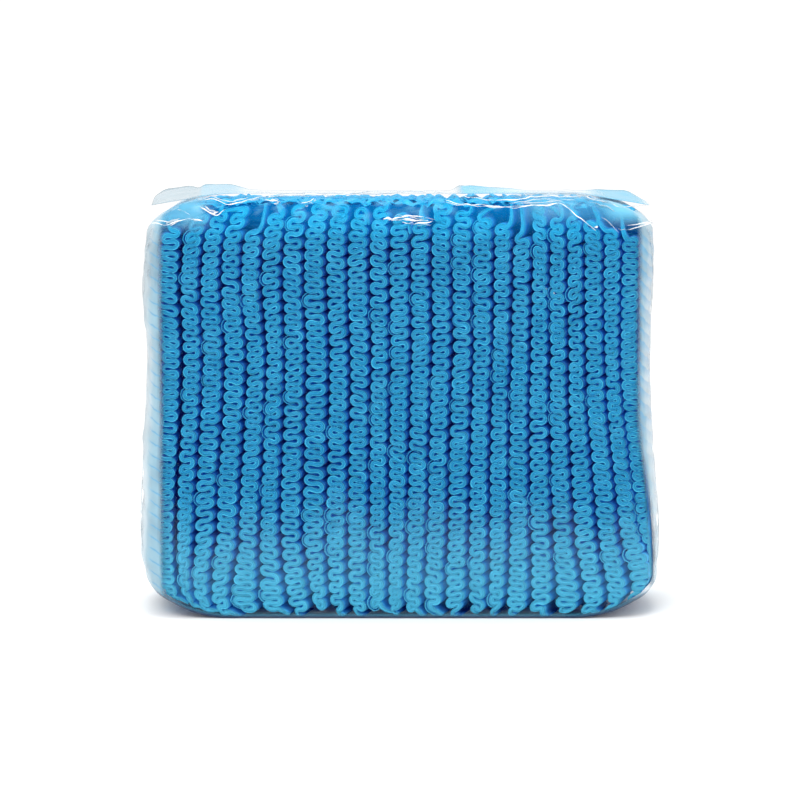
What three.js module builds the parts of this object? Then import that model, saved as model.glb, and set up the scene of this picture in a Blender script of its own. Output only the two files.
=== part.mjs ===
// A clear film bag packed with disposable hairnets. Each hairnet is a strip of folded nonwoven cloth
// whose elastic has crimped it into a tall zigzag; the strips stand side by side in columns.
// Millimetres, +Z up, +X to the right of someone who faces the front, which looks towards -Y.
// The origin is on the ground under the middle of the bag.
import * as THREE from "three";

// The bag of film
const BAG_WIDTH = 240;
const BAG_DEPTH = 98;
const BAG_HEIGHT = 189.5; // without the seal on top
const FILM_WALL = 0.8;
const SIDE_BULGE = 8; // how far each side swells out between its front and back edges
const SWELL_START = 0.9; // share of the front's half width where that swelling begins
const CORNER_DEPTH = 9; // how far the front and back turn in at the upright corners
const CORNER_START = 0.9;
const END_LIFT = 10; // the bottom turns up at its left and right ends
const END_DROP = 5.5; // the top turns down at its ends
const EDGE_DROP = 7.5; // and along its front and back edges
const END_TURN_START = 0.7; // share of the half width where bottom and top begin to turn
const EDGE_TURN_START = 0.7; // share of the half depth where the top begins to turn
const SLOT_LENGTH = 130; // the mouth, which lies under the seal
const SLOT_WIDTH = 3;

// The bag's outline by height, as shares of the front's half width and of the half depth.
const WAISTS = [
  { up: 0.0, left: 0.965, right: 0.985, depth: 0.94 },
  { up: 0.04, left: 0.99, right: 0.998, depth: 0.985 },
  { up: 0.12, left: 1.0, right: 1.0, depth: 1.0 },
  { up: 0.3, left: 0.992, right: 0.982, depth: 1.0 },
  { up: 0.5, left: 0.972, right: 0.958, depth: 0.99 },
  { up: 0.64, left: 0.965, right: 0.955, depth: 0.985 },
  { up: 0.78, left: 0.985, right: 0.962, depth: 0.98 },
  { up: 0.91, left: 0.97, right: 0.968, depth: 0.97 },
  { up: 1.0, left: 0.95, right: 0.955, depth: 0.9 },
];

// The strips
const STRIP_CLEARANCE = 0.8; // between the film and the strips
const COLUMN_GAP = 0.6; // between neighbouring columns
const SPREAD = 0.97; // share of the front's half width that the columns fill
const STRIP_WIDTH = 10.2; // the most that a strip's zigzag spans from side to side
const CRIMPS = 24; // whole zigzags in a column
const NOTCH_REACH = 0.1; // how far past the column's middle each notch cuts, as a share of its half width

// Where one column parts from the next, as shares of the front's half width, at four heights.
const PARTING_HEIGHTS = { foot: 0.03, low: 0.18, waist: 0.655, crown: 0.88 };
const PARTINGS = [
  { foot: -0.99, low: -0.995, waist: -0.995, crown: -0.985 },
  { foot: -0.94, low: -0.95, waist: -0.945, crown: -0.94 },
  { foot: -0.89, low: -0.875, waist: -0.86, crown: -0.855 },
  { foot: -0.82, low: -0.785, waist: -0.765, crown: -0.77 },
  { foot: -0.735, low: -0.69, waist: -0.67, crown: -0.685 },
  { foot: -0.61, low: -0.6, waist: -0.585, crown: -0.6 },
  { foot: -0.495, low: -0.515, waist: -0.505, crown: -0.51 },
  { foot: -0.39, low: -0.42, waist: -0.415, crown: -0.42 },
  { foot: -0.315, low: -0.32, waist: -0.315, crown: -0.325 },
  { foot: -0.235, low: -0.23, waist: -0.225, crown: -0.235 },
  { foot: -0.145, low: -0.14, waist: -0.135, crown: -0.14 },
  { foot: -0.065, low: -0.06, waist: -0.05, crown: -0.055 },
  { foot: 0.01, low: 0.02, waist: 0.04, crown: 0.035 },
  { foot: 0.085, low: 0.105, waist: 0.13, crown: 0.125 },
  { foot: 0.175, low: 0.19, waist: 0.22, crown: 0.215 },
  { foot: 0.275, low: 0.28, waist: 0.31, crown: 0.305 },
  { foot: 0.36, low: 0.365, waist: 0.395, crown: 0.395 },
  { foot: 0.435, low: 0.45, waist: 0.475, crown: 0.475 },
  { foot: 0.535, low: 0.54, waist: 0.56, crown: 0.56 },
  { foot: 0.64, low: 0.635, waist: 0.645, crown: 0.635 },
  { foot: 0.745, low: 0.72, waist: 0.725, crown: 0.71 },
  { foot: 0.835, low: 0.81, waist: 0.8, crown: 0.785 },
  { foot: 0.905, low: 0.89, waist: 0.875, crown: 0.865 },
  { foot: 0.95, low: 0.95, waist: 0.94, crown: 0.935 },
  { foot: 0.99, low: 0.995, waist: 0.995, crown: 0.99 },
];

// The seal on top: the pressed end of the bag, folded back over its mouth
const SEAL_WALL = 0.8;
const SEAL_SEAT_GAP = 0.4;
const SEAL_WIDTH = 20;
const SEAL_FRONT = -6; // its front edge, from the bag's middle
const SEAL_WAVES = [
  { across: -0.98, lift: 4.6 },
  { across: -0.95, lift: 6 },
  { across: -0.91, lift: 5 },
  { across: -0.87, lift: 4 },
  { across: -0.85, lift: 5.4 },
  { across: -0.76, lift: 4 },
  { across: -0.66, lift: 1 },
  { across: -0.5, lift: 0.4 },
  { across: -0.2, lift: 0.3 },
  { across: 0.22, lift: 0.4 },
  { across: 0.26, lift: 2.8 },
  { across: 0.48, lift: 1.2 },
  { across: 0.56, lift: 0.5 },
  { across: 0.78, lift: 0.8 },
  { across: 0.88, lift: 2.8 },
  { across: 0.95, lift: 4.4 },
  { across: 0.98, lift: 3.4 },
];

const filmMaterial = new THREE.MeshStandardMaterial({
  color: 0xe4f1f8,
  roughness: 0.12,
  metalness: 0,
  transparent: true,
  opacity: 0.25,
});
const clothMaterial = new THREE.MeshStandardMaterial({
  color: 0x2b97d3,
  roughness: 0.85,
  metalness: 0,
});

// A value read from a table's rows between two heights or places, in a straight line.
function readTable(rows, keyName, at, valueName) {
  let i = 1;
  while (i < rows.length - 1 && rows[i][keyName] < at) i += 1;
  const [a, b] = [rows[i - 1], rows[i]];
  const t = THREE.MathUtils.clamp((at - a[keyName]) / (b[keyName] - a[keyName]), 0, 1);
  return THREE.MathUtils.lerp(a[valueName], b[valueName], t);
}

// 0 up to a start, then rising as a square to 1 at the end.
function turn(share, start) {
  return Math.max(0, (Math.abs(share) - start) / (1 - start)) ** 2;
}

// How far back the front and back go at a place across, as a share of the half depth: the corners turn in.
function faceShare(across, inset) {
  return 1 - ((CORNER_DEPTH + inset) / (BAG_DEPTH / 2)) * turn(across, CORNER_START);
}

// The bag's form: a point's share across (-1 to 1), up (0 to 1) and through (-1 front, 1 back), as millimetres.
// An inset moves it inwards from the film's outer face on every side.
function place(across, up, through, inset) {
  const side = across < 0 ? "left" : "right";
  const halfWidth = (BAG_WIDTH / 2 - SIDE_BULGE) * readTable(WAISTS, "up", up, side);
  const halfDepth = (BAG_DEPTH / 2) * readTable(WAISTS, "up", up, "depth");
  const swell = THREE.MathUtils.clamp((Math.abs(across) - SWELL_START) / (1 - SWELL_START), 0, 1);
  const bulge = Math.sign(across) * SIDE_BULGE * swell * (1 - through * through);
  const lift = END_LIFT * turn(across, END_TURN_START);
  const drop = END_DROP * turn(across, END_TURN_START) + EDGE_DROP * turn(through, EDGE_TURN_START);
  const bottom = lift + inset;
  const top = BAG_HEIGHT - drop - inset;
  return new THREE.Vector3(
    across * (halfWidth - inset) + bulge,
    through * (halfDepth - inset),
    THREE.MathUtils.lerp(bottom, top, up),
  );
}

// One closed body through rings of equally many points, closed at both ends by a fan round a middle point.
function skin(rings, firstMiddle, lastMiddle) {
  const count = rings[0].length;
  const points = [firstMiddle, ...rings.flat(), lastMiddle];
  const last = points.length - 1;
  const at = (ring, i) => 1 + ring * count + (i % count);
  const faces = [];
  for (let i = 0; i < count; i += 1) {
    faces.push(0, at(0, i + 1), at(0, i));
    for (let ring = 0; ring < rings.length - 1; ring += 1) {
      faces.push(at(ring, i), at(ring, i + 1), at(ring + 1, i + 1));
      faces.push(at(ring, i), at(ring + 1, i + 1), at(ring + 1, i));
    }
    faces.push(last, at(rings.length - 1, i), at(rings.length - 1, i + 1));
  }
  const geometry = new THREE.BufferGeometry().setFromPoints(points);
  geometry.setIndex(faces);
  geometry.computeVertexNormals();
  return geometry;
}

// The bag seen from above: shares across and through, a quarter at a time, going round from the front's middle.
function planOutline(inset) {
  const quarter = [0, 0.35, 0.7, 0.8, 0.9, 0.95, 1].map((across) => [across, -faceShare(across, inset)]);
  quarter.push([1, -0.4]);
  const rightHalf = [...quarter, [1, 0], ...quarter.slice(1).reverse().map(([a, t]) => [a, -t])];
  const leftHalf = [[0, 1], ...rightHalf.slice(1).reverse().map(([a, t]) => [-a, t])];
  return [...rightHalf, ...leftHalf];
}

const FLOOR_RINGS = [0.6, 0.75, 0.9]; // shares of the outline at which the bottom's rings lie
const ROOF_RINGS = [0.85, 0.7];

// The film from the middle of its bottom, up the sides and over the top to the mouth.
function filmRings(inset) {
  const outline = planOutline(inset);
  const scaled = (share, up) => outline.map(([a, t]) => place(a * share, up, t * share, inset));
  const mouth = outline.map(([a, t]) => {
    const rim = place(a * 0.5, 1, t * 0.5, inset);
    return new THREE.Vector3((a * SLOT_LENGTH) / 2, (t * SLOT_WIDTH) / 2, rim.z);
  });
  return [
    ...FLOOR_RINGS.map((share) => scaled(share, 0)),
    ...WAISTS.map(({ up }) => scaled(1, up)),
    ...ROOF_RINGS.map((share) => scaled(share, 1)),
    mouth,
  ];
}

// The bag: an outer face and an inner face that meet at the mouth.
function makeBag() {
  const rings = [...filmRings(0), ...filmRings(FILM_WALL).reverse()];
  const geometry = skin(rings, new THREE.Vector3(0, 0, 0), new THREE.Vector3(0, 0, FILM_WALL));
  const bag = new THREE.Mesh(geometry, filmMaterial);
  bag.name = "bag_film";
  return bag;
}

// The seal: a band of film that is seated along its front edge and lifts in waves at its back edge.
function makeSeal() {
  const back = SEAL_FRONT + SEAL_WIDTH;
  const rings = SEAL_WAVES.map(({ across, lift }) => {
    const seat = (y) => place(across, 1, y / (BAG_DEPTH / 2), 0).z + SEAL_SEAT_GAP;
    const x = place(across, 1, 0, 0).x;
    const [low, high] = [seat(SEAL_FRONT), seat(back) + lift];
    return [
      new THREE.Vector3(x, SEAL_FRONT, low),
      new THREE.Vector3(x, back, high),
      new THREE.Vector3(x, back, high + SEAL_WALL),
      new THREE.Vector3(x, SEAL_FRONT, low + SEAL_WALL),
    ];
  });
  const middle = (ring) => ring.reduce((sum, p) => sum.add(p), new THREE.Vector3()).divideScalar(ring.length);
  const geometry = skin(rings, middle(rings[0]), middle(rings[rings.length - 1]));
  const seal = new THREE.Mesh(geometry, filmMaterial);
  seal.name = "top_seal";
  return seal;
}

// The share across at which a parting lies at a height.
function partingAt(index, up) {
  const rows = Object.entries(PARTING_HEIGHTS).map(([name, height]) => ({ height, across: PARTINGS[index][name] }));
  return SPREAD * readTable(rows, "height", up, "across");
}

// One column of strips: a zigzag band seen from the front, carried through the pack's depth.
function makeColumn(index) {
  const inset = FILM_WALL + STRIP_CLEARANCE;
  const halfFront = BAG_WIDTH / 2 - SIDE_BULGE;
  // A point at a share of the column's half width from its middle, as a share across the pack.
  const acrossAt = (offset, up) => {
    const [left, right] = [partingAt(index, up), partingAt(index + 1, up)];
    const half = Math.min((right - left) / 2 - COLUMN_GAP / 2 / halfFront, STRIP_WIDTH / 2 / halfFront);
    return (left + right) / 2 + offset * half;
  };
  const leftSide = [];
  const rightSide = [];
  for (let k = 0; k <= 2 * CRIMPS; k += 1) {
    const up = k / (2 * CRIMPS);
    const outwards = (k + index) % 2 === 0 ? -1 : 1;
    const [tip, notch] = [acrossAt(outwards, up), acrossAt(outwards * NOTCH_REACH, up)];
    leftSide.push(new THREE.Vector2(Math.min(tip, notch), up));
    rightSide.push(new THREE.Vector2(Math.max(tip, notch), up));
  }
  const shape = new THREE.Shape([...leftSide, ...rightSide.reverse()]);
  const isOutermost = index === 0 || index === PARTINGS.length - 2;
  const geometry = new THREE.ExtrudeGeometry(shape, {
    depth: 2,
    steps: isOutermost ? 2 : 1,
    bevelEnabled: false,
  });
  const position = geometry.getAttribute("position");
  for (let i = 0; i < position.count; i += 1) {
    const [across, up, forward] = [position.getX(i), position.getY(i), position.getZ(i) - 1];
    const p = place(across, up, -forward * faceShare(across, inset), inset);
    position.setXYZ(i, p.x, p.y, p.z);
  }
  geometry.computeVertexNormals();
  const column = new THREE.Mesh(geometry, clothMaterial);
  column.name = `hairnets_${String(index + 1).padStart(2, "0")}`;
  return column;
}

const pack = new THREE.Group();
pack.name = "hairnet_pack";
pack.add(makeBag(), makeSeal());
for (let index = 0; index < PARTINGS.length - 1; index += 1) pack.add(makeColumn(index));

export default pack;
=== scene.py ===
import bpy
import numpy as np
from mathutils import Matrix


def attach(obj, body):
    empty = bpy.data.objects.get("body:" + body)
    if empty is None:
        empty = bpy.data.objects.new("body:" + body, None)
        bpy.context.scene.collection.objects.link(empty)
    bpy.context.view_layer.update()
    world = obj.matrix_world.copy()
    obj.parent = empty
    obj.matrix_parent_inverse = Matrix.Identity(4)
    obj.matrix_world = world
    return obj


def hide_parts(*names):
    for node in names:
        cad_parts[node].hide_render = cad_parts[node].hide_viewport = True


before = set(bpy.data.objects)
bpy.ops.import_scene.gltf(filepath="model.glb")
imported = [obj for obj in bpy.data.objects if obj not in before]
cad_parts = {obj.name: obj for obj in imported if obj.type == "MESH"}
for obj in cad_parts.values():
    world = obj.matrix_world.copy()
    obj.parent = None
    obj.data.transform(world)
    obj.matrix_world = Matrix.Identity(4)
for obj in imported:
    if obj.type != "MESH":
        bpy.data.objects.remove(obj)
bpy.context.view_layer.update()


# The folded hairnets. Each is a cap of light blue spunbond cloth, pleated flat into a strip of many layers,
# which its elastics crimp into a tall zigzag. Four strips stand one behind another in each of 24 columns.

# The strips take their form from the bag that they fill: its half sizes and height in metres, how far its
# sides swell, and how far its corners, ends and edges turn in, from the share of the half size where each
# turn starts. The waist tables are shares of the half width and half depth, at heights from 0 to 1.
HALF_FRONT = 0.112
HALF_DEPTH = 0.049
BAG_HEIGHT = 0.1895
SIDE_BULGE = 0.008
SWELL_START = 0.9
CORNER_DEPTH = 0.009
CORNER_START = 0.9
END_LIFT = 0.010
END_DROP = 0.0055
EDGE_DROP = 0.0075
TURN_START = 0.7
WAIST_HEIGHTS = [0.0, 0.04, 0.12, 0.3, 0.5, 0.64, 0.78, 0.91, 1.0]
WAIST_LEFT = [0.965, 0.99, 1.0, 0.992, 0.972, 0.965, 0.985, 0.97, 0.95]
WAIST_RIGHT = [0.985, 0.998, 1.0, 0.982, 0.958, 0.955, 0.962, 0.968, 0.955]
WAIST_DEPTH = [0.94, 0.985, 1.0, 1.0, 0.99, 0.985, 0.98, 0.97, 0.9]

# Where one column parts from the next, as shares of the front's half width, at four heights from 0 to 1.
PARTING_SPREAD = 0.97
PARTING_HEIGHTS = [0.03, 0.18, 0.655, 0.88]
PARTINGS = np.array([
    [-0.99, -0.995, -0.995, -0.985],
    [-0.94, -0.95, -0.945, -0.94],
    [-0.89, -0.875, -0.86, -0.855],
    [-0.82, -0.785, -0.765, -0.77],
    [-0.735, -0.69, -0.67, -0.685],
    [-0.61, -0.6, -0.585, -0.6],
    [-0.495, -0.515, -0.505, -0.51],
    [-0.39, -0.42, -0.415, -0.42],
    [-0.315, -0.32, -0.315, -0.325],
    [-0.235, -0.23, -0.225, -0.235],
    [-0.145, -0.14, -0.135, -0.14],
    [-0.065, -0.06, -0.05, -0.055],
    [0.01, 0.02, 0.04, 0.035],
    [0.085, 0.105, 0.13, 0.125],
    [0.175, 0.19, 0.22, 0.215],
    [0.275, 0.28, 0.31, 0.305],
    [0.36, 0.365, 0.395, 0.395],
    [0.435, 0.45, 0.475, 0.475],
    [0.535, 0.54, 0.56, 0.56],
    [0.64, 0.635, 0.645, 0.635],
    [0.76, 0.725, 0.725, 0.71],
    [0.86, 0.825, 0.8, 0.785],
    [0.955, 0.92, 0.885, 0.87],
    [1.05, 0.995, 0.955, 0.95],
    [1.16, 1.065, 1.025, 1.02],
]) * PARTING_SPREAD
PARTINGS[0] = -0.99

# How many millimetres each column's front strip stops short of the top. Its free end fills the rest.
TOP_GAPS = [7, 4, 3, 2, 12, 1, 1, 1, 0, 3, 0, 5, 6, 0, 3, 4, 10, 13, 0, 7, 2, 7, 9, 9]


def eased(at, places, values):
    """A table read in straight lines, then averaged over a short stretch, so that it has no corners."""
    return sum(np.interp(at + step, places, values) for step in np.linspace(-0.05, 0.05, 9)) / 9


def smooth(values, low, high):
    """0 at low, 1 at high, and smooth between them."""
    share = np.clip((values - low) / (high - low), 0, 1)
    return share * share * (3 - 2 * share)


def turned(share, start):
    """0 up to the start, then a square rise to 1 where the share is 1."""
    return np.maximum(0, (np.abs(share) - start) / (1 - start)) ** 2


def half_width(across, up):
    """The front's half width on that side of the middle, at a height."""
    left = eased(up, WAIST_HEIGHTS, WAIST_LEFT)
    right = eased(up, WAIST_HEIGHTS, WAIST_RIGHT)
    return HALF_FRONT * np.where(across < 0, left, right)


def corner_share(across):
    """How much of the half depth is left at a place across: the upright corners turn in as a square."""
    return 1 - CORNER_DEPTH / HALF_DEPTH * turned(across, CORNER_START)


def bulge(across, through):
    """The sides' swelling: a parabola through the depth, growing from the front's edge to its corner."""
    swell = np.clip((np.abs(across) - SWELL_START) / (1 - SWELL_START), 0, 1)
    return np.sign(across) * SIDE_BULGE * swell * np.clip(1 - through**2, 0, 1)


def floor_height(across):
    """The bag's bottom, which turns up at its two ends."""
    return END_LIFT * turned(across, TURN_START)


def roof_height(across, through):
    """The bag's top, which turns down at its ends and edges."""
    return BAG_HEIGHT - END_DROP * turned(across, TURN_START) - EDGE_DROP * turned(through, TURN_START)


def bag_point(across, up, through):
    """The bag's soft box: width and depth follow the waist tables, and height runs straight up."""
    x = across * half_width(across, up) + bulge(across, through)
    y = through * HALF_DEPTH * eased(up, WAIST_HEIGHTS, WAIST_DEPTH)
    z = floor_height(across) * (1 - up) + roof_height(across, through) * up
    return np.stack(np.broadcast_arrays(x, y, z), -1)


def drift(rng, shape, *lengths):
    """Soft random waves: white noise whose ripples shorter than the lengths, in samples, are faded out."""
    noise = rng.standard_normal(shape)
    for axis, length in zip(range(-len(lengths), 0), lengths):
        count = shape[axis]
        pass_band = np.exp(-((np.fft.fftfreq(count) * length) ** 2))
        pass_band = pass_band.reshape([-1] + [1] * (-axis - 1))
        noise = np.fft.ifft(np.fft.fft(noise, axis=axis) * pass_band, axis=axis).real
    return noise / noise.std()


def tube_mesh(name, rings, fields=None, uvs=None):
    """A closed body from rings of points, each joined to the next, with a face over each end."""
    count, around = rings.shape[:2]
    index = np.arange(count * around).reshape(count, around)
    here, there = index[:-1], index[1:]
    faces = np.stack([here, np.roll(here, -1, 1), np.roll(there, -1, 1), there], -1).reshape(-1, 4).tolist()
    faces += [index[0][::-1].tolist(), index[-1].tolist()]
    mesh = bpy.data.meshes.new(name)
    mesh.from_pydata(rings.reshape(-1, 3).tolist(), [], faces)
    mesh.shade_smooth()
    for field, values in (fields or {}).items():
        values = np.broadcast_to(values, (count, around)).astype(np.float32)
        mesh.attributes.new(field, "FLOAT", "POINT").data.foreach_set("value", values.ravel())
    if uvs is not None:
        corners = np.empty(len(mesh.loops), np.int32)
        mesh.loops.foreach_get("vertex_index", corners)
        layer = mesh.uv_layers.new(name="along")
        layer.data.foreach_set("uv", uvs.reshape(-1, 2)[corners].astype(np.float32).ravel())
    piece = bpy.data.objects.new(name, mesh)
    bpy.context.scene.collection.objects.link(piece)
    return piece


def joined(name, parts):
    """Several objects made into one, under a new name."""
    with bpy.context.temp_override(active_object=parts[0], selected_editable_objects=parts):
        bpy.ops.object.join()
    parts[0].name = name
    return parts[0]


class Wire:
    """A node's output in a material's tree. Sums, products and the like of wires are Math nodes."""

    def __init__(self, tree, socket=None):
        self.tree = tree
        self.socket = socket

    def add(self, kind, settings=None, inputs=None, output=0):
        """Adds a node with its settings, then its sockets' values or links, and gives one output."""
        node = self.tree.nodes.new(kind)
        for name, value in (settings or {}).items():
            setattr(node, name, value)
        for name, value in (inputs or {}).items():
            if isinstance(value, Wire):
                self.tree.links.new(value.socket, node.inputs[name])
            else:
                node.inputs[name].default_value = value
        return Wire(self.tree, node.outputs[output] if node.outputs else None)

    def maths(self, operation, *values):
        return self.add("ShaderNodeMath", {"operation": operation}, dict(enumerate(values)))

    def __add__(self, other):
        return self.maths("ADD", self, other)

    __radd__ = __add__

    def __sub__(self, other):
        return self.maths("SUBTRACT", self, other)

    def __rsub__(self, other):
        return self.maths("SUBTRACT", other, self)

    def __mul__(self, other):
        return self.maths("MULTIPLY", self, other)

    def __abs__(self):
        return self.maths("ABSOLUTE", self)

    def fraction(self):
        return self.maths("FRACT", self)

    def field(self, name):
        """The numbers that a mesh holds under this name, one at each point."""
        return self.add("ShaderNodeAttribute", {"attribute_name": name}, output=2)

    def noise(self, scale, detail, roughness=0.5):
        """Random shades over a place: their ripples a metre, and the layers of finer ripples over them."""
        inputs = {"Vector": self, "Scale": scale, "Detail": detail, "Roughness": roughness}
        return self.add("ShaderNodeTexNoise", None, inputs)

    def step(self, low, high):
        """0 at low, 1 at high, and smooth between them."""
        return self.add(
            "ShaderNodeMapRange",
            {"interpolation_type": "SMOOTHSTEP"},
            {"Value": self, "From Min": low, "From Max": high},
        )

    def hump(self, middle, width):
        """1 at the middle, falling smoothly to 0 at a width from it."""
        return 1 - abs(self - middle).step(0, width)

    def mixed(self, first, second):
        """The first colour where this is 0 and the second where it is 1."""
        return self.add(
            "ShaderNodeMix",
            {"data_type": "RGBA"},
            {0: self, 6: first, 7: second},
            output=2,
        )


def new_material(name):
    """A material with an empty tree, and a wire that adds to it."""
    material = bpy.data.materials.new(name)
    material.use_nodes = True
    material.node_tree.nodes.clear()
    return material, Wire(material.node_tree)


def srgb(red, green, blue):
    """A colour given in display values of 0 to 255, as the linear values that a shader takes."""
    shares = np.array([red, green, blue]) / 255
    linear = np.where(shares <= 0.04045, shares / 12.92, ((shares + 0.055) / 1.055) ** 2.4)
    return (*linear.tolist(), 1.0)


CLOTH_MIDDLE = srgb(8, 114, 162)
CLOTH_LINE = srgb(74, 196, 222)
CLOTH_CREVICE_SHADE = srgb(2, 56, 128)
CLOTH_SIDE_SHADED = srgb(14, 104, 172)
CLOTH_SIDE_LIT = srgb(52, 156, 206)
CLOTH_DEEP_SHADE = srgb(2, 22, 104)
CLOTH_CROWN_LIGHT = srgb(0, 154, 200)
CLOTH_FOOT_LIGHT = srgb(84, 186, 214)
CLOTH_PALE = srgb(90, 190, 222)
CLOTH_UNDER_SHADE = srgb(26, 44, 74)
# The glows below are painted light: emission on cloth that is no lamp.
CLOTH_GLOW = (0.0, 0.022, 0.11, 1.0)
CLOTH_DEEP_GLOW = (0.0, 0.002, 0.035, 1.0)
CLOTH_CROWN_GLOW = (0.0, 0.15, 0.36, 1.0)
UNLIT = (0.0, 0.0, 0.0, 1.0)

# The heights, in metres, over which painted light brightens the cloth to the top, painted light at its feet
# fades out, and painted shade under them stops.
CROWN_LIGHT_HEIGHTS = (0.166, 0.187)
FOOT_LIGHT_HEIGHTS = (0.012, 0.062)
UNDER_SHADE_HEIGHTS = (0.004, 0.014)

# A ribbon's face has a pale pressed line beside each edge and a faint one along its middle, painted shade in
# the crevices at its edges, and bluer, shaded walls behind them with painted lit streaks. The streaks run
# along the ribbon and the fibres every way.
LINE_PLACE = 0.66
LINE_WIDTH = 0.22
STREAKS = (150, 9, 1)
FIBRES = 2600.0
PATCHES = 120.0
cloth, wire = new_material("spunbond_cloth")
place = wire.add("ShaderNodeTexCoord", output=3)
along = wire.add("ShaderNodeUVMap", {"uv_map": "along"})
band = wire.field("band")
depth = wire.field("depth")
edge = abs(band)
stretched = wire.add("ShaderNodeMapping", None, {"Vector": along, "Scale": STREAKS})
streaks = stretched.noise(1.0, 3.0)
fibres = place.noise(FIBRES, 4.0, 0.7)
patches = place.noise(PATCHES, 2.0)
lines = edge.hump(LINE_PLACE, LINE_WIDTH) + band.hump(0.05, 0.14) * 0.25
lines = lines * streaks.step(0.25, 0.55)
colour = lines.mixed(CLOTH_MIDDLE, CLOTH_LINE)
# Painted shade: the crevices at the ribbon's edges are darkened.
colour = (edge.hump(1.0, 0.2) * 0.9).mixed(colour, CLOTH_CREVICE_SHADE)
# The walls behind the face are a shaded blue with painted lit streaks.
side = streaks.step(0.38, 0.62).mixed(CLOTH_SIDE_SHADED, CLOTH_SIDE_LIT)
colour = edge.step(1.05, 1.3).mixed(colour, side)
level = wire.add("ShaderNodeSeparateXYZ", None, {"Vector": place}, output=2)
crown = level.step(*CROWN_LIGHT_HEIGHTS)
foot = 1 - level.step(*FOOT_LIGHT_HEIGHTS)
# Painted light: the cloth brightens near the top.
colour = (crown * 0.75).mixed(colour, CLOTH_CROWN_LIGHT)
# Painted light: the cloth is paler at its feet.
colour = (foot * 0.5).mixed(colour, CLOTH_FOOT_LIGHT)
colour = ((fibres - 0.5) * 0.4 + (patches - 0.5) * 0.5).mixed(colour, CLOTH_PALE)
# Painted shade: strips deeper in the pack are darker, less so near the top and the feet.
colour = (depth.step(0.12, 0.5) * (0.94 - crown * 0.7 - foot * 0.4)).mixed(colour, CLOTH_DEEP_SHADE)
# Painted shade: the inner strips turn dark slate just above the ground.
colour = (depth.step(0.2, 0.4) * (1 - level.step(*UNDER_SHADE_HEIGHTS))).mixed(colour, CLOTH_UNDER_SHADE)
# Painted light: the cloth glows blue on its walls and crevices, faintly deeper in the pack, and brightly near
# the top.
glow = (edge.step(0.95, 1.3) * (1 - depth.step(0.06, 0.35))).mixed(CLOTH_DEEP_GLOW, CLOTH_GLOW)
glow = (depth.step(0.0, 0.15) * 0.8 + edge.step(0.95, 1.2)).mixed(UNLIT, glow)
glow = (crown * (0.26 + depth.step(0.05, 0.3) * 0.7)).mixed(glow, CLOTH_CROWN_GLOW)
height = fibres * 0.5 + streaks * 0.8
bump = wire.add("ShaderNodeBump", None, {"Height": height, "Strength": 0.5, "Distance": 0.0004})
skin = wire.add(
    "ShaderNodeBsdfPrincipled",
    None,
    {
        "Base Color": colour,
        "Roughness": 0.75,
        "Sheen Weight": 0.06,
        "Sheen Roughness": 0.4,
        "Sheen Tint": (0.6, 0.9, 1.0, 1.0),
        "Specular IOR Level": 0.2,
        "Emission Color": glow,
        "Emission Strength": 1.0,
        "Normal": bump,
    },
)
wire.add("ShaderNodeOutputMaterial", None, {"Surface": skin})

STRIP_INSET = 0.0016
ROW_GAP = 0.0006
CRIMPS = 34
SWING = 1.86
WIDEST_SWING = 1.92
RIBBON = 0.00226
WIDEST_REACH = 0.0058
NARROWED_SHARE = 0.09
LEAN = 0.16
SETBACK_START = 0.174
SETBACK_SLOPE = 0.6
TOP_PULL = 0.005
TOP_PULL_START = 0.165
TOP_PULL_HEIGHT = 0.02
SHOULDER_START = 0.9
SHOULDER_DROP = 0.065
FILLED_WIDTH = 0.988
FEET_TUCK = 0.03
FILLED_SWELL = 0.85
ROOF_SOFTNESS = 0.0006
SKIN_CLEARANCE = 0.0008
WALL_BAND = 1.6
ROUGHNESS = 0.0002
LEAF = 0.0004

# Which way a strip's upper end turns, in radians from straight up, and how long it is. An end that has more
# than the tall gap to fill stands nearly straight.
TALL_GAP = 0.0055
LONG_END = 0.008
CURLS = [
    {"turn": 1.5, "length": 0.008},
    {"turn": 1.9, "length": 0.010},
    {"turn": 2.3, "length": 0.012},
    {"turn": 2.6, "length": 0.011},
    {"turn": 0.1, "length": 0.005},
    {"turn": -0.3, "length": 0.006},
    {"turn": -1.7, "length": 0.009},
]

# The ribbon's section from its left side over its front to its right: how far across it (-1 to 1) and how
# far behind the front each point lies. The outer layers stand clear of the rest by a groove.
FRONT_SECTION = [
    {"across": -1.0, "behind": 1.0},
    {"across": -1.0, "behind": 0.25},
    {"across": -1.0, "behind": 0.008},
    {"across": -0.8, "behind": 0.0},
    {"across": -0.64, "behind": 0.03},
    {"across": -0.46, "behind": 0.002},
    {"across": 0.46, "behind": 0.002},
    {"across": 0.64, "behind": 0.03},
    {"across": 0.8, "behind": 0.0},
    {"across": 1.0, "behind": 0.008},
    {"across": 1.0, "behind": 0.25},
    {"across": 1.0, "behind": 1.0},
]
BACK_SECTION = [
    {"across": -1.0, "behind": 1.0},
    {"across": -1.0, "behind": 0.01},
    {"across": -0.75, "behind": 0.0},
    {"across": -0.6, "behind": 0.03},
    {"across": 0.6, "behind": 0.03},
    {"across": 0.75, "behind": 0.0},
    {"across": 1.0, "behind": 0.01},
    {"across": 1.0, "behind": 1.0},
]
INNER_SECTION = [
    {"across": -1.0, "behind": 1.0},
    {"across": -1.0, "behind": 0.0},
    {"across": 1.0, "behind": 0.0},
    {"across": 1.0, "behind": 1.0},
]
LEAF_SECTION = [
    {"across": -1.0, "behind": 0.3},
    {"across": -1.0, "behind": 0.02},
    {"across": 1.0, "behind": 0.02},
    {"across": 1.0, "behind": 0.3},
]

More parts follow.
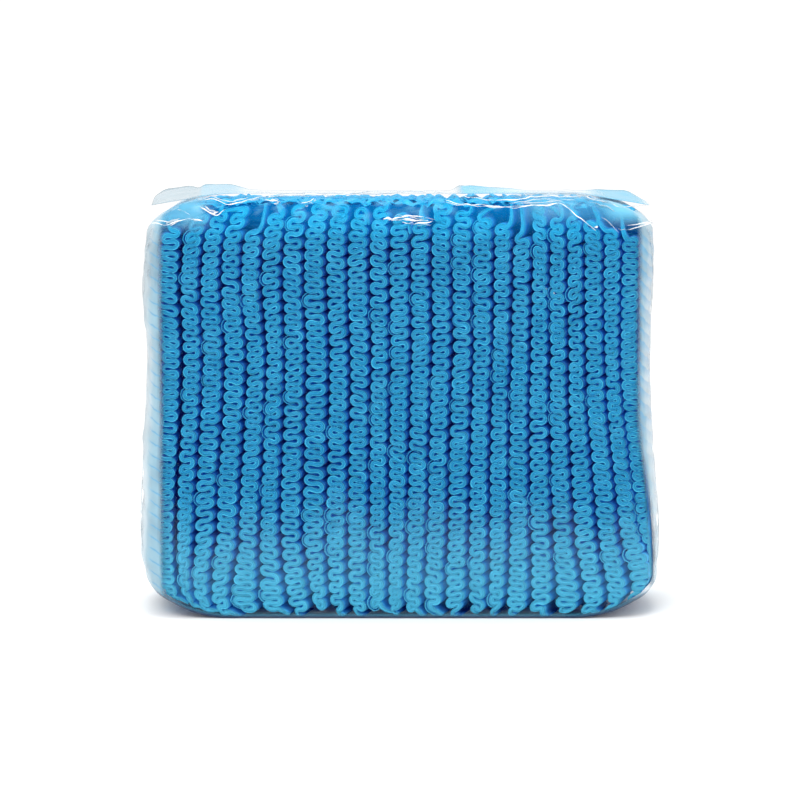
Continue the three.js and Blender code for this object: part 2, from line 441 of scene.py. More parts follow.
# The four rows of strips from front to back: the depths of each one's face and rear, where in the depth its
# top meets the roof, how much it leans, its gain in width, how high its feet may stand, its loose leaves and
# the points of each turn.
ROWS = [
    {
        "front": -1.0,
        "back": -0.5,
        "crown": 0.76,
        "lean": 1.0,
        "spare": -0.0007,
        "foot": (0.002, 0.005),
        "leaves": 0.12,
        "samples": 18,
        "section": FRONT_SECTION,
    },
    {
        "front": -0.5,
        "back": 0.0,
        "crown": 0.5,
        "lean": -0.5,
        "spare": 0.0006,
        "foot": (0.0005, 0.002),
        "leaves": 0.0,
        "samples": 8,
        "section": INNER_SECTION,
    },
    {
        "front": 0.5,
        "back": 0.0,
        "crown": 0.5,
        "lean": 0.5,
        "spare": 0.0006,
        "foot": (0.0005, 0.002),
        "leaves": 0.0,
        "samples": 8,
        "section": INNER_SECTION,
    },
    {
        "front": 1.0,
        "back": 0.5,
        "crown": 0.85,
        "lean": 1.0,
        "spare": -0.0006,
        "foot": (0.002, 0.005),
        "leaves": 0.1,
        "samples": 12,
        "section": BACK_SECTION,
    },
]

# The way round the front's corner, as a table of lengths and of how deep each one lies.
ARC_SHARES = np.append(np.linspace(0, 1, 400), 1.0)
ARC_DEPTHS = np.append((1 - corner_share(ARC_SHARES[:-1])) * HALF_DEPTH, CORNER_DEPTH + 0.02)
ARC_LENGTHS = np.append(0, np.cumsum(np.hypot(np.diff(ARC_SHARES) * HALF_FRONT, np.diff(ARC_DEPTHS))))


def arc_of(share):
    """The way along the front and round its corner, from the middle to a share of the half width."""
    beyond = np.maximum(np.abs(share) - 1, 0) * HALF_FRONT
    return np.sign(share) * (np.interp(np.abs(share), ARC_SHARES[:-1], ARC_LENGTHS[:-1]) + beyond)


def crimped_path(rng, samples):
    """A strip's middle line seen from the front, as shares of its half width and height.

    The line's heading swings to either side of straight up as a sine, so that it folds back on itself in
    rounded turns. The swing and the length of each turn drift a little, and so does the tilt of its passes.
    """
    count = CRIMPS * samples
    phase = np.linspace(0, 2 * np.pi * CRIMPS, count) + rng.uniform(0, 2 * np.pi)
    swing = np.minimum(SWING + 0.05 * drift(rng, (count,), samples * 1.2), WIDEST_SWING)
    stride = 1 + 0.04 * drift(rng, (count,), samples * 0.9)
    heading = swing * np.sin(phase)
    x = np.cumsum(np.sin(heading) * stride)
    z = np.cumsum(np.cos(heading) * stride)
    wave = np.ones(samples) / samples
    padded = np.pad(x, samples // 2, mode="edge")
    x = x - np.convolve(padded, wave, "same")[samples // 2: samples // 2 + count]
    x = x / np.percentile(np.abs(x), 88)
    z = (z - z[0]) / (z[-1] - z[0])
    tilt = 0.0019 * drift(rng, (count,), samples * 5)
    return x, z + tilt * x, phase, heading


def tail(x, z, heading, target, length, samples):
    """A strip's free end: the line goes on from its last point, and its heading eases over to a target.

    The longer the end is beyond a usual one, the earlier it bends.
    """
    share = np.linspace(0, 1, samples)[1:]
    swerve = np.angle(np.exp(1j * (target - heading)))
    bend = heading + swerve * (1 - (1 - share) ** (2 + 400 * max(0.0, length - LONG_END)))
    end_x = x + np.cumsum(np.sin(bend)) * length / samples
    end_z = z + np.cumsum(np.cos(bend)) * length / samples
    return end_x, end_z, share


def strip_line(column, row, rng):
    """A strip's middle line: at each point its way round the front, height, thickness and phase."""
    samples = row["samples"]
    x_share, up, phase, heading = crimped_path(rng, samples)
    left = arc_of(np.interp(up, PARTING_HEIGHTS, PARTINGS[column]))
    right = arc_of(np.interp(up, PARTING_HEIGHTS, PARTINGS[column + 1]))
    thickness = RIBBON * (1 + 0.06 * drift(rng, up.shape, samples * 1.5))
    narrowed = 1 - NARROWED_SHARE * (1 - smooth(up, 0.06, 0.34))
    reach = np.minimum((right - left) / 2 + row["spare"], WIDEST_REACH) * narrowed
    x = (left + right) / 2 + x_share * (reach - thickness / 2)
    home = float(PARTINGS[column : column + 2].mean())
    floor = floor_height(home) + STRIP_INSET
    bottom = floor + rng.uniform(*row["foot"]) * (1 - 0.8 * abs(home))
    gap = TOP_GAPS[column] / 1000 if row["front"] == -1 else 0.0
    top = roof_height(home, row["crown"]) - STRIP_INSET - rng.uniform(0.0006, 0.0025) - gap
    z = bottom + (top - bottom) * up
    curl = CURLS[int(rng.uniform() * len(CURLS))]
    target = curl["turn"] + rng.uniform(-0.3, 0.3)
    length = curl["length"] * rng.uniform(0.8, 1.2)
    if gap > TALL_GAP:
        target, length = rng.uniform(-0.45, 0.35), gap + 0.003
    head_x, head_z, head = tail(x[-1], z[-1], heading[-1], target, length, samples)
    target = rng.uniform(1.6, 2.4)
    length = rng.uniform(0.004, 0.008)
    foot_x, foot_z, foot = tail(x[0], z[0], heading[0] + np.pi, target, length, samples)
    x = np.concatenate([foot_x[::-1], x, head_x])
    z = np.concatenate([foot_z[::-1], z, head_z])
    grow = np.concatenate([1 - 0.7 * foot[::-1], np.ones(up.shape), 1 - 0.6 * head])
    pull = TOP_PULL * home * np.abs(home)
    x = x - pull * np.clip((z - TOP_PULL_START) / TOP_PULL_HEIGHT, 0, 1) ** 2
    ends = (foot.size, head.size)
    return x, z, np.pad(thickness, ends, mode="edge") * grow, np.pad(phase, ends, mode="edge")


def sideways(x, z):
    """The unit vectors to the right of a line's own direction."""
    slope = np.stack([np.gradient(z), -np.gradient(x)], -1)
    return slope / np.linalg.norm(slope, axis=1, keepdims=True)


def carried(x, z, offsets, row, section, home, rng):
    """A section carried along a line and set into the bag's form, from the row's face back to its rear.

    The line bends round the front's corners, keeps under the roof and over the bottom, leans sideways with
    depth, and is held inside the film at the sides. The band field is how far across the face a point lies,
    or more on the walls behind it, and the depth field grows from 0 at the front to 1 in the middle.
    """
    across = np.array([point["across"] for point in section])
    behind = np.array([point["behind"] for point in section])
    side = sideways(x, z)
    arc = x[:, None] + side[:, 0, None] * offsets
    pz = z[:, None] + side[:, 1, None] * offsets
    share = np.sign(arc) * np.interp(np.abs(arc), ARC_LENGTHS, ARC_SHARES)
    recess = np.interp(np.abs(arc), ARC_LENGTHS, ARC_DEPTHS)
    pz = np.maximum(pz, floor_height(share) + STRIP_INSET * 0.6)
    beyond = np.clip((np.abs(share) - SHOULDER_START) / (1 - SHOULDER_START), 0, 1)
    shoulder = 1 - SHOULDER_DROP * (1 - np.sqrt(1 - beyond**2))
    ceiling = roof_height(share, row["crown"]) * shoulder - STRIP_INSET
    pz = ceiling - np.logaddexp(0, (ceiling - pz) / ROOF_SOFTNESS) * ROOF_SOFTNESS
    tall = np.clip(pz / BAG_HEIGHT, 0, 1)
    front, back = row["front"], row["back"]
    half_depth = HALF_DEPTH * eased(tall, WAIST_HEIGHTS, WAIST_DEPTH) - STRIP_INSET
    recess = (recess + np.maximum(0, pz - SETBACK_START) * SETBACK_SLOPE) * np.abs(front) ** 3
    face = half_depth * front - np.sign(front) * recess
    rough = ROUGHNESS * drift(rng, (len(x), len(across)), 8, 1.2) * (behind < 0.2)
    rear = half_depth * back + np.sign(front) * ROW_GAP
    py = face + (rear - face) * behind + np.sign(front) * rough
    tuck = FILLED_WIDTH - FEET_TUCK * (1 - smooth(pz - floor_height(share), 0.0, 0.008))
    corner_rise = np.sqrt(np.maximum(pz - 0.0006, 0) / END_LIFT)
    rounding = np.minimum(1, TURN_START + (1 - TURN_START) * corner_rise)
    px = share * half_width(share, tall) * tuck + FILLED_SWELL * bulge(share, py / HALF_DEPTH)
    lean = LEAN * (1 + 0.4 * home + 0.5 * (1 - smooth(pz, 0.01, 0.075)))
    lean = lean * min(1.0, (1 - abs(home)) / 0.12)
    px = px + lean * row["lean"] * (py - front * HALF_DEPTH)
    swell = SIDE_BULGE * np.clip(1 - (py / HALF_DEPTH) ** 2, 0, 1)
    limit = (half_width(np.sign(px), tall) * tuck + swell) * rounding - SKIN_CLEARANCE
    px = np.sign(px) * np.minimum(np.abs(px), limit)
    length = np.cumsum(np.hypot(np.gradient(x), np.gradient(z)))
    band = np.where(behind > 0.1, WALL_BAND * np.sign(across), across)
    depth = behind * 0.5 if abs(front) == 1 else 0.5 + behind * 0.5
    depth = depth * float(np.interp(abs(home), [0.88, 0.97], [1, 0.3]))
    rings = np.stack([px, py, pz], -1)
    uvs = np.stack(np.broadcast_arrays(length[:, None], across[None, :]), -1)
    fields = {"band": band[None, :], "depth": depth[None, :]}
    if front > back:
        rings, uvs = rings[:, ::-1], uvs[:, ::-1]
        fields = {name: values[:, ::-1] for name, values in fields.items()}
    return rings, fields, uvs


def strip_parts(column, row, rng):
    """A strip, and the single leaves of cloth that have come loose round some of its turns."""
    x, z, thickness, phase = strip_line(column, row, rng)
    home = float(PARTINGS[column : column + 2].mean())
    across = np.array([point["across"] for point in row["section"]])
    parts = [carried(x, z, across[None, :] * thickness[:, None] / 2, row, row["section"], home, rng)]
    side = sideways(x, z)
    for turn in range(1, CRIMPS):
        if rng.uniform() > row["leaves"]:
            continue
        middle = 2 * np.pi * turn
        near = np.flatnonzero(np.abs(phase - middle) < 2.0)
        share = np.linspace(0, 1, near.size)
        clear = rng.uniform(0.0005, 0.0011) * np.sin(np.pi * share) ** 0.6 + 0.0001 + thickness[near] / 2
        leaf_x = x[near] - side[near, 0] * clear
        leaf_z = z[near] - side[near, 1] * clear
        offsets = np.array([point["across"] for point in LEAF_SECTION])[None, :] * LEAF / 2
        offsets = offsets * np.ones((near.size, 1))
        parts.append(carried(leaf_x, leaf_z, offsets, row, LEAF_SECTION, home, rng))
    return parts


FLAP_ROWS = 24
FLAP_POINTS = 25
FLAP_INSET = 0.0033
FLAP_ENDS = (-0.925, 0.96)
PLEAT = 0.0022


def flap(column, first, last, rng):
    """The folded top of a column's strips, lying back under the film: a sheet with seeded, slanting pleats.

    Each point's height is the roof's, less an inset, plus a power of a sine across and through the sheet.
    """
    middle = float(PARTINGS[column : column + 2, 3].mean())
    pitch = float(np.diff(PARTINGS[column : column + 2, 3])[0])
    v = np.linspace(0, 1, FLAP_ROWS)[:, None]
    u = np.linspace(-1, 1, FLAP_POINTS)[None, :]
    slant = rng.uniform(0.02, 0.075) * (1 - 1.2 * max(0.0, middle))
    share = middle + slant * v + u * pitch * rng.uniform(0.6, 0.85)
    share = np.clip(share, *FLAP_ENDS)
    ragged = rng.uniform(0.0, 0.09) + 0.05 * u * rng.uniform(-1, 1)
    through = first + ragged + (last - first - ragged) * v
    pleats = np.abs(np.sin(u * rng.uniform(2.0, 4.0) + rng.uniform(0, 3) + 3.0 * v * rng.uniform(-1, 1)))
    lift = PLEAT * pleats ** 0.8 - 0.0012 * u + 0.0005 * drift(rng, (FLAP_ROWS, FLAP_POINTS), 5, 7)
    lift = lift + 0.0008 * np.exp(-((u + 0.9) / 0.15) ** 2) * rng.uniform(0, 1)
    z = roof_height(share, through) - FLAP_INSET + np.clip(0.7 * lift, 0, PLEAT)
    tall = np.ones_like(z)
    x = share * half_width(share, tall) + bulge(share, through)
    y = through * HALF_DEPTH * eased(tall, WAIST_HEIGHTS, WAIST_DEPTH) * corner_share(share)
    y = y * (1 - 0.03 * np.abs(through))
    upper = np.stack([x, y, z], -1)
    lower = upper - np.array([0, 0, LEAF])
    rings = np.concatenate([lower, upper[:, ::-1]], 1)
    band = np.concatenate([np.ones_like(u), u[:, ::-1] * 0.97], 1)
    length = np.concatenate([u * 0.01, u[:, ::-1] * 0.01], 1)
    uvs = np.stack(np.broadcast_arrays(length, v), -1)
    return rings, {"band": band, "depth": 0.0}, uvs


# Each column is its four strips and two flaps, one over the roof's front edge and one over the rest of it.
for column in range(len(TOP_GAPS)):
    parts = []
    for number, row in enumerate(ROWS):
        rng = np.random.default_rng(100 * column + number)
        parts += strip_parts(column, row, rng)
    rng = np.random.default_rng(100 * column + 50)
    parts.append(flap(column, -0.8, -0.1, rng))
    parts.append(flap(column, -0.5, 0.95, rng))
    tubes = [tube_mesh(f"strip_{column + 1:02d}_{number}", *part) for number, part in enumerate(parts)]
    bundle = joined(f"hairnet_strips_{column + 1:02d}", tubes)
    bundle.data.materials.append(cloth)
    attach(bundle, "root")
    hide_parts(f"hairnets_{column + 1:02d}")


# The bag. It is thin clear film, welded into a gusseted bag that the hairnets fill out tightly. The film is
# milky where it is slack, at the sides and near the ground, where the milk is partly a painted reflection of
# the floor, and painted white highlights lie along the creases where it folds over the top.
FILM_AROUND_FRONT = 236
FILM_AROUND_SIDE = 36
FILM_AROUND_BACK = 80
BOTTOM_RINGS = 14
TURN_RINGS = 9
WALL_RINGS = 84
TOP_RINGS = 40

# The camera's tilt down, its distance from the bag's middle, and the height in the bag at which it looks.
VIEW_TILT = np.radians(6)
VIEW_DISTANCE = 1.6
VIEW_HEIGHT = 0.0945

# The creases as they show from the front: millimetres to the right of the middle and up from the ground.
CREASES = [
    [(-115, 180.5), (-107, 179), (-102, 181), (-98.5, 182.5), (-90.5, 180.5)],
    [(-96, 183.7), (-94.3, 182.1), (-90.6, 181.5)],
    [(-102.2, 186.3), (-99.3, 185), (-96.7, 184.2)],
    [(-94, 189.5), (-90, 186.5), (-84, 183.5), (-79, 187.5)],
    [(-63, 190.6), (-59, 190), (-57, 190.9), (-55, 189.5), (-57, 187.9)],
    [(-45.4, 189.3), (-42.7, 190), (-40.6, 189.5), (-39.5, 191.2)],
    [(-93, 191), (-85, 191), (-77, 188.5), (-68.5, 191), (-54, 193), (-9, 193.5), (9, 195.5), (19, 194),
     (32, 192)],
    [(32, 192), (44, 190.5), (53, 191), (67.5, 192.5), (85.5, 192), (96, 189.5), (99.5, 187.5), (114, 188)],
    [(21, 190.5), (27, 189), (50, 187.5), (65, 188.5), (74.5, 189), (81.5, 183.5), (90, 176.5)],
    [(92.5, 183), (97, 179.5), (100.5, 176)],
    [(101, 177), (106, 177), (117, 180.5), (104.5, 179.5)],
    [(-6, 181.6), (-1, 182.5), (5, 182.8), (11, 182.4), (16, 181.6)],
    [(-4, 181.1), (2, 181.5), (8, 181.4), (13, 181)],
    [(0, 183.3), (5, 183.7), (10, 183.2)],
    [(1, 180.3), (6, 180), (12, 180.3), (15, 180.9)],
    [(-8, 181.9), (-5, 182.1), (-2, 181.5)],
    [(67, 150.6), (68, 150.2)],
    [(70.5, 147.8), (71.5, 147.4)],
    [(89.5, 177.8), (91, 177.2)],
]


def plan_outline():
    """The bag from above, going round from the front's left corner: shares across and through."""
    front = np.linspace(-1, 1, FILM_AROUND_FRONT, endpoint=False)
    through = np.linspace(-1, 1, FILM_AROUND_SIDE, endpoint=False)
    back = np.linspace(1, -1, FILM_AROUND_BACK, endpoint=False)
    end = corner_share(np.array(1.0))
    across = np.concatenate([front, np.ones(FILM_AROUND_SIDE), back, -np.ones(FILM_AROUND_SIDE)])
    depth = np.concatenate([-corner_share(front), through * end, corner_share(back), -through * end])
    for _ in range(3):
        across = (np.roll(across, 1) + 2 * across + np.roll(across, -1)) / 4
        depth = (np.roll(depth, 1) + 2 * depth + np.roll(depth, -1)) / 4
    return across, depth


def film_profile():
    """The bag from its bottom's middle out, up and over the top: each ring's size and height, from 0 to 1.

    The parts are the flat bottom, its quarter turn, the walls, the upper quarter turn and the top.
    """
    bend = np.linspace(0, np.pi / 2, TURN_RINGS)
    bottom_sizes = np.linspace(0.02, 0.94, BOTTOM_RINGS)
    lower_sizes = 0.965 + 0.035 * np.sin(bend)
    lower_heights = 0.03 * (1 - np.cos(bend))
    wall_heights = np.linspace(0.035, 0.93, WALL_RINGS)
    upper_sizes = 1 - 0.1 * (1 - np.cos(bend))
    upper_heights = 0.935 + 0.065 * np.sin(bend)
    top_sizes = np.linspace(0.88, 0.02, TOP_RINGS)
    sizes = [bottom_sizes, lower_sizes, np.ones(WALL_RINGS), upper_sizes, top_sizes]
    heights = [np.zeros(BOTTOM_RINGS), lower_heights, wall_heights, upper_heights, np.ones(TOP_RINGS)]
    return np.concatenate(sizes), np.concatenate(heights)


def outward(points):
    """Unit normals of a grid of points that closes on itself along its second axis."""
    along = np.gradient(points, axis=0)
    around = (np.roll(points, -1, 1) - np.roll(points, 1, 1)) / 2
    normal = np.cross(around, along)
    return normal / np.maximum(np.linalg.norm(normal, axis=2, keepdims=True), 1e-12)


def on_bag(x, height):
    """The point on the bag's front or top that shows at a place in the front view.

    The points up the front and back over the top are turned by the view's tilt and divided by their distance.
    The point sought is read off between those whose heights in the view are next to the place's.
    """
    up = np.append(np.linspace(0.7, 1, 60), np.ones(80))
    through = np.append(-np.ones(60), np.linspace(-1, 0.7, 80))
    share = np.full(up.shape, np.clip(x / HALF_FRONT / 0.96, -0.99, 0.99))
    points = bag_point(share, up, through * corner_share(share))
    middle = VIEW_HEIGHT * np.cos(VIEW_TILT) + HALF_DEPTH * np.sin(VIEW_TILT)
    shown = points[:, 2] * np.cos(VIEW_TILT) + (points[:, 1] + HALF_DEPTH) * np.sin(VIEW_TILT)
    shown = middle + (shown - middle) / (1 + points[:, 1] / VIEW_DISTANCE)
    place = np.interp(height, shown, np.arange(len(up)))
    found = np.array([np.interp(place, np.arange(len(up)), points[:, axis]) for axis in range(3)])
    found[0] = x * (1 + found[1] / VIEW_DISTANCE)
    return found


def crease_line(path, rng):
    """The points on the bag's front and top along a crease that is given as it shows from the front."""
    path = np.array(path) / 1000
    lengths = np.append(0, np.cumsum(np.hypot(*np.diff(path, axis=0).T)))
    places = np.linspace(0, lengths[-1], max(6, int(lengths[-1] / 0.0012)))
    x = np.interp(places, lengths, path[:, 0])
    height = np.interp(places, lengths, path[:, 1])
    for _ in range(2):
        x[1:-1] = (x[:-2] + 2 * x[1:-1] + x[2:]) / 4
        height[1:-1] = (height[:-2] + 2 * height[1:-1] + height[2:]) / 4
    line = np.array([on_bag(*point) for point in zip(x, height)])
    line[:, 2] += 0.0002 * drift(rng, x.shape, 4)
    return line + np.array([0, -0.0004, 0.0003])


def crease_rings(line, facing, thickness, rng):
    """A stiff fold of film: a low ridge along a line on a surface that faces one way, thinner to its ends."""
    share = np.linspace(0, 1, len(line))
    uneven = (1 + 0.35 * drift(rng, share.shape, 5)).clip(0.3, 2)
    radius = thickness / 2 * np.sin(np.pi * (0.04 + 0.92 * share)) ** 0.5 * uneven
    slope = np.gradient(line, axis=0)
    slope /= np.linalg.norm(slope, axis=1, keepdims=True)
    ahead = np.cross(slope, np.array(facing))
    ahead /= np.linalg.norm(ahead, axis=1, keepdims=True)
    off = np.cross(ahead, slope)
    turn = np.linspace(0, 2 * np.pi, 6, endpoint=False)[None, :, None]
    ring = ahead[:, None, :] * np.cos(turn) + 0.8 * off[:, None, :] * np.sin(turn)
    return line[:, None, :] + ring * radius[:, None, None]


def gusset_line(side, ups, throughs, rng):
    """The points along a fold on one of the bag's sides, between the given heights and depths."""
    share = np.linspace(0, 1, 60)
    up = np.interp(share, [0, 1], ups)
    through = np.interp(share, [0, 1], throughs) + 0.01 * drift(rng, share.shape, 9)
    return bag_point(side * np.ones_like(share), up, through) + np.array([side * 0.0003, 0, 0])


# How high the film's long waves, its top's ripples and its sides' ripples are, and how far apart the crimps
# are.
WAVE = 0.00035
RIPPLE = 0.0003
SIDE_RIPPLE = 0.0002
CRIMP_PITCH = 0.0107

# The film is milky up to a height, and from a distance to each side, which is larger low on the right. It
# turns milky over a short way, and never hides more than the greatest haze.
LOW_HAZE_HEIGHT = 0.058
MILK_START = 0.1062
MILK_LATER = 0.0075
MILK_FADE = 0.0036
MOST_HAZE = 0.9

# The loose patches of the top: on which side (1 is the right), and where they set in, in metres.
LOOSE_PATCHES = [
    {"name": "puff", "side": 1, "across": (0.088, 0.1), "up": (0.176, 0.184)},
    {"name": "ear", "side": -1, "across": (0.082, 0.094), "up": (0.174, 0.182)},
    {"name": "gleam", "side": 1, "across": (0.048, 0.062), "up": (0.177, 0.186)},
]

rng = np.random.default_rng(7)
plan_across, plan_through = plan_outline()
sizes, ups = (values[:, None] for values in film_profile())
across = plan_across * sizes
through = plan_through * sizes
film_points = bag_point(across, ups * np.ones_like(across), through)
waves = WAVE * drift(rng, across.shape, 14, 40) * (sizes > 0.9)
ripples = RIPPLE * drift(rng, across.shape, 5, 8) * smooth(ups, 0.85, 0.95) * (sizes > 0.85)
side_share = smooth(np.abs(film_points[..., 0]), 0.108, 0.113)
crimps = film_points[..., 2] / CRIMP_PITCH + 6 * film_points[..., 1]
ripples = ripples + side_share * SIDE_RIPPLE * np.sin(2 * np.pi * crimps)
rise = np.clip(ups * 20, 0, 1)
film_points = film_points + outward(film_points) * ((waves + ripples) * rise)[..., None]
film_points[..., 2] = np.maximum(film_points[..., 2], 0)
width, depth, height = (film_points[..., axis] for axis in range(3))

# How milky the film is: low over the feet, at both ends except where the strips fill them out, in the loose
# patches, and in slack spots over the strips' tops.
# The milk low over the feet is partly a painted reflection of the pale floor.
low_end = LOW_HAZE_HEIGHT + 0.008 * drift(rng, across.shape, 200, 24) - 0.02 * smooth(width, 0.04, 0.1)
low = 1 - smooth(height, 0.008, low_end)
milk_start = MILK_START + MILK_LATER * (1 - smooth(height, 0.03, 0.095)) * (width > 0)
ends = smooth(np.abs(width) - milk_start, 0.0, MILK_FADE)
loose = {}
for patch in LOOSE_PATCHES:
    loose[patch["name"]] = smooth(patch["side"] * width, *patch["across"]) * smooth(height, *patch["up"])
puff, ear, gleam = loose["puff"], loose["ear"], loose["gleam"]
slack = smooth(drift(rng, across.shape, 4, 9), 0.3, 1.6) * smooth(height, 0.179, 0.184)
full = smooth(width, 0.0, 0.05) * (1 - smooth(height, 0.026, 0.054)) * (1 - smooth(depth, -0.04, -0.025))
haze = 0.12 * low * smooth(height, 0.004, 0.016) + 0.85 * ends * (1 - 0.9 * full)
haze = haze + 0.62 * puff + 0.56 * ear + 0.2 * slack + 0.3 * gleam
haze = np.minimum(haze * (1 + 0.1 * drift(rng, across.shape, 6, 10)), MOST_HAZE)

# How blue that milk is, where blue cloth lies close behind it, and a painted shadow: the dark line where the
# bag stands.
nearness = 1 - smooth(depth, -0.047, -0.02)
blue = np.clip(3 * np.maximum.reduce([slack, gleam, 0.8 * puff, 0.8 * ear]), 0, 0.85)
tint = np.maximum.reduce([low * (1 - ends), blue * (1 - 0.6 * ends), 0.26 * ends * nearness])
# Painted shadow: a dark line low on the front, where the bag meets the ground.
foot = (1 - smooth(height - floor_height(across), 0.0006, 0.0028)) * (1 - smooth(depth, -0.036, -0.02))
fields = {"crease": np.zeros(across.shape), "haze": haze, "tint": tint, "foot": foot}
parts = [tube_mesh("bag_film_0", film_points, fields)]

# The creases, each with three fine ones beside it where it is long. FRONT_FACING is the way that the top's
# rounded front edge faces, and the other sizes are how thick each kind of fold is.
FRONT_FACING = (0.0, -0.85, 0.53)
CREASE = 0.00056
FINE_CREASE = 0.0005
GUSSET_FOLD = 0.0007
for number, path in enumerate(CREASES):
    rings = crease_rings(crease_line(path, rng), FRONT_FACING, CREASE, rng)
    # The creases' white is a painted highlight, broken along each one into glints.
    glint = (0.72 + 0.4 * drift(rng, (len(rings), 1), 5, 1)).clip(0.12, 1)
    parts.append(tube_mesh(f"crease_{number}", rings, {"crease": glint, "haze": 0.0, "tint": 0.0}))
    if len(path) < 4:
        continue
    for fine in range(3):
        first = rng.uniform(0, 0.6)
        part = np.array(path) + [rng.uniform(-2, 2), rng.uniform(-1.6, 1.6)]
        places = np.linspace(first, first + rng.uniform(0.2, 0.4), 8) * (len(path) - 1)
        part = np.stack([np.interp(places, range(len(path)), part[:, axis]) for axis in range(2)], -1)
        ridge = {"crease": rng.uniform(0.3, 0.7), "haze": 0.0, "tint": 0.0}
        rings = crease_rings(crease_line(part, rng), FRONT_FACING, FINE_CREASE, rng)
        parts.append(tube_mesh(f"fine_crease_{number}_{fine}", rings, ridge))

# The gussets' folds on both sides: one down the middle, and four from it to the corners.
GUSSET_FOLDS = [
    {"ups": [0.06, 0.94], "throughs": [0.0, 0.0]},
    {"ups": [0.72, 0.96], "throughs": [0.0, -0.75]},
    {"ups": [0.72, 0.96], "throughs": [0.0, 0.75]},
    {"ups": [0.28, 0.05], "throughs": [0.0, -0.75]},
    {"ups": [0.28, 0.05], "throughs": [0.0, 0.75]},
]
for side in (-1, 1):
    for number, fold in enumerate(GUSSET_FOLDS):
        line = gusset_line(side, fold["ups"], fold["throughs"], rng)
        rings = crease_rings(line, (side, 0.0, 0.0), GUSSET_FOLD, rng)
        name = f"gusset_{number}_{'left' if side < 0 else 'right'}"
        # The folds carry a fainter painted highlight.
        parts.append(tube_mesh(name, rings, {"crease": 0.4, "haze": 0.0, "tint": 0.0}))
bag = joined("bag_skin", parts)

film, wire = new_material("clear_film")
place = wire.add("ShaderNodeTexCoord", output=3)
crease, haze, tint, foot = (wire.field(name) for name in ("crease", "haze", "tint", "foot"))
cloud = place.noise(60.0, 3.0)
slant = wire.add("ShaderNodeLayerWeight", None, {"Blend": 0.35}, output=1)
x, y, z = (wire.add("ShaderNodeSeparateXYZ", None, {"Vector": place}, output=axis) for axis in range(3))
wobble = place.noise(220.0, 1.0)

# The ends of the crimps touch the film at the sides, and show through it: as short blue ticks on the left,
# and as slanting scallops on the right.
TICKS_A_METRE = 2 / CRIMP_PITCH
left_tick = ((z + x * 0.5) * TICKS_A_METRE + wobble * 0.3).fraction().hump(0.5, 0.17)
left_end = (x - wobble * 0.002).step(-0.116, -0.1125) * (1 - x.step(-0.08, -0.07))
left_tick = left_tick * left_end * (1 - y.step(-0.03, -0.02)) * 0.6
scallop = ((z + x) * TICKS_A_METRE + wobble * 0.4).fraction().step(0.1, 0.9)
right_end = x.step(0.07, 0.08) * (1 - y.step(-0.03, 0.005))
right_tick = scallop * right_end * (z.step(0.07, 0.1) * 0.4 + 0.2)
tick = (left_tick + right_tick) * haze.step(0.15, 0.4) * (1 - z.step(0.17, 0.178))

# How much the film hides of what lies behind it. It is clearest where it is tight and faces the eye.
CLEAREST = 0.005
DENSEST = 0.94
MILK = srgb(148, 170, 180)
MILK_BLUE = srgb(88, 182, 214)
TICK_BLUE = srgb(52, 138, 182)
FOOT_SHADOW = srgb(16, 44, 80)
CREASE_HIGHLIGHT = (0.85, 0.85, 0.85, 1.0)
veil = haze * (cloud * 0.3 + 0.85) + slant * slant * slant * 0.08 + crease * 0.9
veil = veil + tick * 0.25 + foot * 0.8 + CLEAREST
veil = veil.maths("MINIMUM", veil, DENSEST)
milk = tint.mixed(MILK, MILK_BLUE)
milk = tick.mixed(milk, TICK_BLUE)
# Painted shadow: the film turns dark slate along the foot.
milk = foot.mixed(milk, FOOT_SHADOW)
# Painted highlight: the creases turn white.
milk = crease.step(0.2, 0.7).mixed(milk, CREASE_HIGHLIGHT)
clear = wire.add("ShaderNodeBsdfTransparent", None, {"Color": (1.0, 1.0, 1.0, 1.0)})
sheen = wire.add(
    "ShaderNodeBsdfPrincipled",
    None,
    {"Base Color": milk, "Roughness": 0.25, "Specular IOR Level": 0.5},
)
surface = wire.add("ShaderNodeMixShader", None, {0: veil, 1: clear, 2: sheen})
wire.add("ShaderNodeOutputMaterial", None, {"Surface": surface})
bag.data.materials.append(film)
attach(bag, "root")
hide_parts("bag_film")


# The bag's sealed upper end. It is the same film, pressed flat and folded back over the top, where it stands
# up in loose waves at its two ends.
SEAL_FRONT = -0.006
SEAL_DEPTH = 0.020
SEAL_THICKNESS = 0.0003
SEAL_REST = 0.0006
SEAL_COLUMNS = 300
SEAL_ROWS = 16

# How many millimetres the seal's rear edge stands up, at shares of the way across.
SEAL_PLACES = [
    -1, -0.97, -0.93, -0.89, -0.87, -0.85, -0.78, -0.72, -0.66,
    -0.5, 0.22, 0.26, 0.48, 0.56, 0.78, 0.88, 0.95, 1,
]
SEAL_LIFTS = [3, 5.8, 5.4, 4.2, 3.6, 4.6, 3.8, 3, 1, 0.4, 0.4, 3, 1.2, 0.5, 0.8, 2.8, 4.6, 0.5]

span = np.linspace(-0.995, 0.995, SEAL_COLUMNS)[:, None]
reach = np.linspace(0, 1, SEAL_ROWS)[None, :]
steps = np.linspace(-0.01, 0.01, 5)
lifts = sum(np.interp(span + step, SEAL_PLACES, SEAL_LIFTS) for step in steps) / 5 / 1000
y = SEAL_FRONT + SEAL_DEPTH * reach + 0 * span
seal_x = span * half_width(span, np.ones_like(span)) + bulge(span, y / HALF_DEPTH)
seal_z = roof_height(span, y / HALF_DEPTH) + SEAL_REST + lifts * reach**1.2
seal_z = seal_z + drift(rng, y.shape, 11, 5) * 0.06 * lifts * reach
upper = np.stack([seal_x, y, seal_z + SEAL_THICKNESS], -1)
lower = np.stack([seal_x, y, seal_z], -1)
rise = smooth(lifts, 0.0004, 0.0034) * np.ones_like(y)
blue = smooth(span, 0.24, 0.28) * (1 - smooth(span, 0.5, 0.6)) + 0.7 * smooth(span, 0.7, 0.85)
blue = blue + 0.5 * smooth(span, -0.87, -0.85) * (1 - smooth(span, -0.7, -0.6))
rim = 1 - smooth(np.minimum(reach, 1 - reach) * np.ones_like(span), 0.0, 0.05)
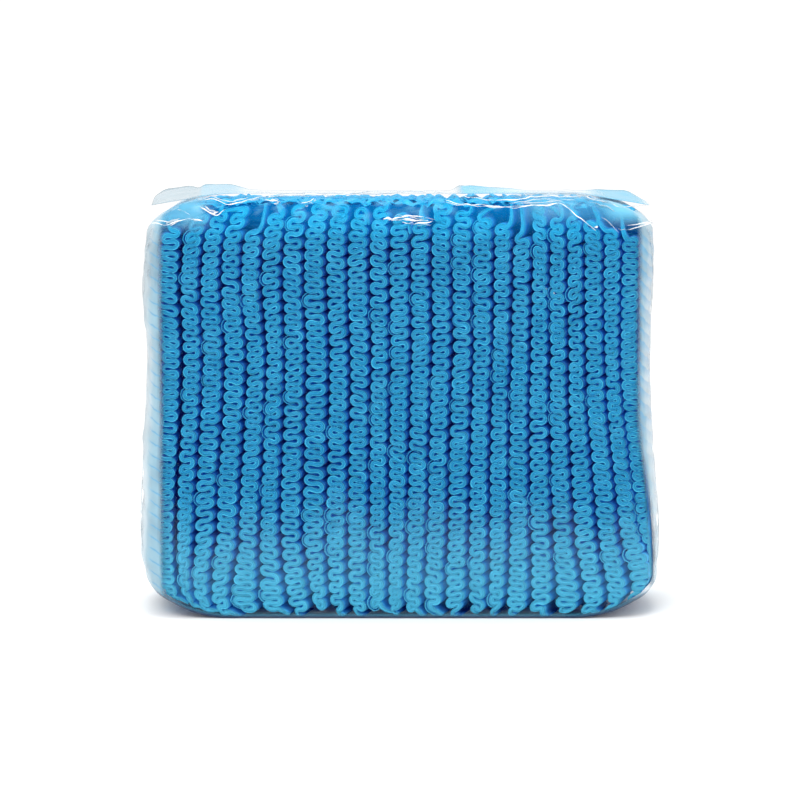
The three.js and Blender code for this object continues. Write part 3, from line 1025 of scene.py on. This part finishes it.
# The seal's edges carry a faint painted highlight through the crease field.
fields = {
    "crease": np.concatenate([rim, rim[:, ::-1]], 1) * 0.25,
    "haze": np.concatenate([rise, rise[:, ::-1]], 1) * (0.34 + 0.4 * (span > 0) * blue) + 0.1,
    "tint": blue,
}
seal = tube_mesh("seal_skin", np.concatenate([lower, upper[:, ::-1]], 1), fields)
seal.data.materials.append(film)
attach(seal, "root")
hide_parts("top_seal")


# The floor, the soft studio light and the camera. The floor is plain and pale, and three lamps and a white
# world light the bag from all round.
bpy.ops.mesh.primitive_plane_add(size=8)
floor = bpy.context.object
floor.name = "floor"
FLOOR_WHITE = (0.92, 0.92, 0.92, 1.0)
paper, wire = new_material("paper")
matt = wire.add("ShaderNodeBsdfPrincipled", None, {"Base Color": FLOOR_WHITE, "Roughness": 0.9})
wire.add("ShaderNodeOutputMaterial", None, {"Surface": matt})
floor.data.materials.append(paper)

WORLD_STRENGTH = 1.1
world = bpy.data.worlds.new("studio")
world.use_nodes = True
world.node_tree.nodes["Background"].inputs["Color"].default_value = (1.0, 1.0, 1.0, 1.0)
world.node_tree.nodes["Background"].inputs["Strength"].default_value = WORLD_STRENGTH
bpy.context.scene.world = world

LAMP_AIM = (0.0, 0.0, 0.1)
LAMPS = [
    {"name": "key", "at": (-0.5, -1.3, 1.2), "size": 0.9, "power": 14.0},
    {"name": "fill", "at": (0.9, -1.2, 0.6), "size": 1.0, "power": 4.0},
    {"name": "top", "at": (0.0, 0.1, 1.3), "size": 0.8, "power": 6.0},
]
for lamp in LAMPS:
    light = bpy.data.lights.new(lamp["name"], "AREA")
    light.size = lamp["size"]
    light.energy = lamp["power"]
    holder = bpy.data.objects.new(lamp["name"], light)
    bpy.context.scene.collection.objects.link(holder)
    holder.location = lamp["at"]
    aim = np.array(LAMP_AIM) - np.array(lamp["at"])
    holder.rotation_euler = (
        float(np.arctan2(np.hypot(aim[0], aim[1]), -aim[2])),
        0.0,
        float(np.arctan2(aim[1], aim[0]) - np.pi / 2),
    )

CAMERA_LENS = 155.7
camera_data = bpy.data.cameras.new("camera")
camera_data.sensor_width = 36
camera_data.lens = CAMERA_LENS
camera = bpy.data.objects.new("camera", camera_data)
bpy.context.scene.collection.objects.link(camera)
camera.location = (
    0.0,
    -VIEW_DISTANCE * float(np.cos(VIEW_TILT)),
    VIEW_HEIGHT + VIEW_DISTANCE * float(np.sin(VIEW_TILT)),
)
camera.rotation_euler = (float(np.pi / 2 - VIEW_TILT), 0.0, 0.0)
bpy.context.scene.camera = camera
bpy.context.scene.view_settings.view_transform = "Standard"
